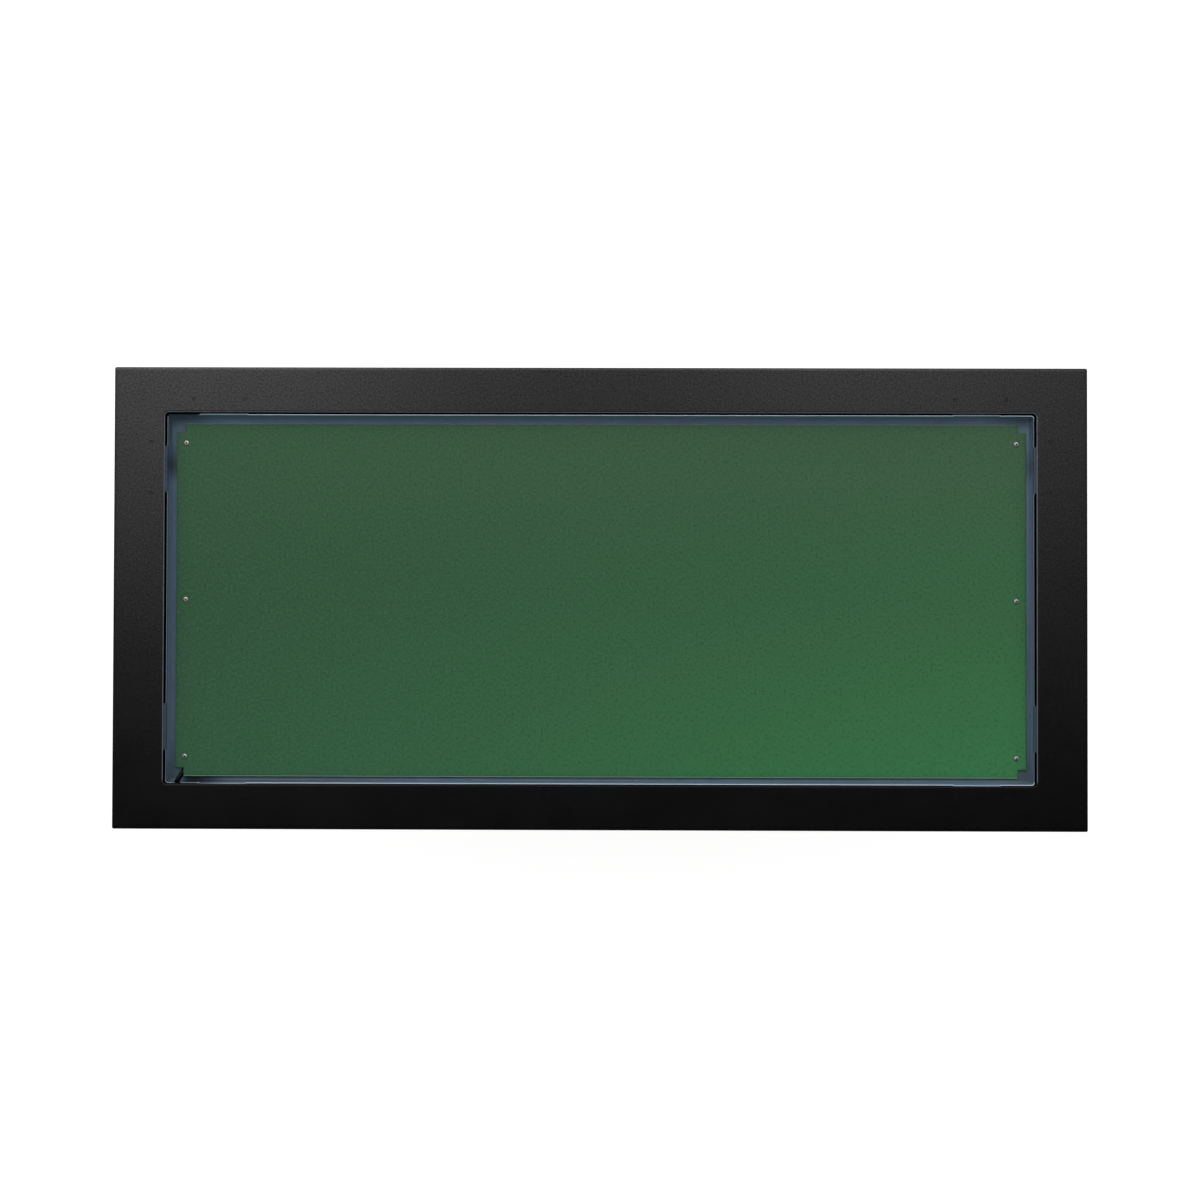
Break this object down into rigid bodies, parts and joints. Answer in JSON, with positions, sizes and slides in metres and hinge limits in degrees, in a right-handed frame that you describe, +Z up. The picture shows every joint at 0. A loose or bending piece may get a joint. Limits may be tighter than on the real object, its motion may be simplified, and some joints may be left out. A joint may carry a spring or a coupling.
{
  "type": "folding poker table top",
  "caption": "Long steel-rimmed gaming table top with a sunken cloth-covered board, a tabbed sheet-metal liner round it and two leg frames that fold flat underneath.",
  "frame": {"origin": "on the floor, under the middle of the table, with the legs down", "axes": "+X along the length towards the right end, +Y across the depth towards the back, +Z up"},
  "size_m": [1.6, 0.76, 0.75],
  "materials": {
    "black_powder_coat": "fine-textured satin black powder coat",
    "blue_grey_zinc": "semi-gloss blue-grey plated sheet",
    "green_cloth": "short-napped green playing cloth",
    "raw_fibreboard": "bare brown fibreboard",
    "bright_zinc": "bright zinc plate",
    "black_rubber": "matte black rubber",
    "black_plastic": "moulded matte black plastic"
  },
  "bodies": {
    "table_top": {"rim_frame": "black_powder_coat", "liner_ring": "blue_grey_zinc", "play_board": "raw_fibreboard", "felt_cover": "green_cloth", "board_screw_1": "bright_zinc", "board_screw_2": "bright_zinc", "board_screw_3": "bright_zinc", "board_screw_4": "bright_zinc", "board_screw_5": "bright_zinc", "board_screw_6": "bright_zinc", "ledge_frame": "black_powder_coat", "end_rail_left": "black_powder_coat", "end_rail_right": "black_powder_coat", "support_rail_left": "black_powder_coat", "support_rail_centre": "black_powder_coat", "support_rail_right": "black_powder_coat", "rest_pad_left_front": "black_rubber", "hinge_bracket_left_front": "black_powder_coat", "pivot_bolt_left_front": "bright_zinc", "pivot_nut_left_front": "bright_zinc", "rest_pad_left_back": "black_rubber", "hinge_bracket_left_back": "black_powder_coat", "pivot_bolt_left_back": "bright_zinc", "pivot_nut_left_back": "bright_zinc", "rest_pad_right_front": "black_rubber", "hinge_bracket_right_front": "black_powder_coat", "pivot_bolt_right_front": "bright_zinc", "pivot_nut_right_front": "bright_zinc", "rest_pad_right_back": "black_rubber", "hinge_bracket_right_back": "black_powder_coat", "pivot_bolt_right_back": "bright_zinc", "pivot_nut_right_back": "bright_zinc"},
    "left_leg_frame": {"leg_frame_left": "black_powder_coat", "lock_bolt_left_front": "bright_zinc", "lock_washer_left_front": "bright_zinc", "foot_cap_left_front": "black_rubber", "lock_bolt_left_back": "bright_zinc", "lock_washer_left_back": "bright_zinc", "foot_cap_left_back": "black_rubber"},
    "right_leg_frame": {"leg_frame_right": "black_powder_coat", "lock_bolt_right_front": "bright_zinc", "lock_washer_right_front": "bright_zinc", "foot_cap_right_front": "black_rubber", "lock_bolt_right_back": "bright_zinc", "lock_washer_right_back": "bright_zinc", "foot_cap_right_back": "black_rubber"},
    "left_front_knob": {"lock_knob_left_front": "black_plastic"},
    "left_back_knob": {"lock_knob_left_back": "black_plastic"},
    "right_front_knob": {"lock_knob_right_front": "black_plastic"},
    "right_back_knob": {"lock_knob_right_back": "black_plastic"}
  },
  "joints": [
    {"name": "left_leg_fold", "type": "hinge", "parent": "table_top", "child": "left_leg_frame", "pos_m": [-0.745, 0, 0.6851], "axis": [0, -1, 0], "range_deg": [0, 90]},
    {"name": "right_leg_fold", "type": "hinge", "parent": "table_top", "child": "right_leg_frame", "pos_m": [0.745, 0, 0.6851], "axis": [0, 1, 0], "range_deg": [0, 90]},
    {"name": "left_front_knob_turn", "type": "hinge", "parent": "left_leg_frame", "child": "left_front_knob", "pos_m": [-0.745, -0.325, 0.6491], "axis": [0, 1, 0], "range_deg": [0, 360]},
    {"name": "left_back_knob_turn", "type": "hinge", "parent": "left_leg_frame", "child": "left_back_knob", "pos_m": [-0.745, 0.325, 0.6491], "axis": [0, -1, 0], "range_deg": [0, 360]},
    {"name": "right_front_knob_turn", "type": "hinge", "parent": "right_leg_frame", "child": "right_front_knob", "pos_m": [0.745, -0.325, 0.6491], "axis": [0, 1, 0], "range_deg": [0, 360]},
    {"name": "right_back_knob_turn", "type": "hinge", "parent": "right_leg_frame", "child": "right_back_knob", "pos_m": [0.745, 0.325, 0.6491], "axis": [0, -1, 0], "range_deg": [0, 360]}
  ]
}
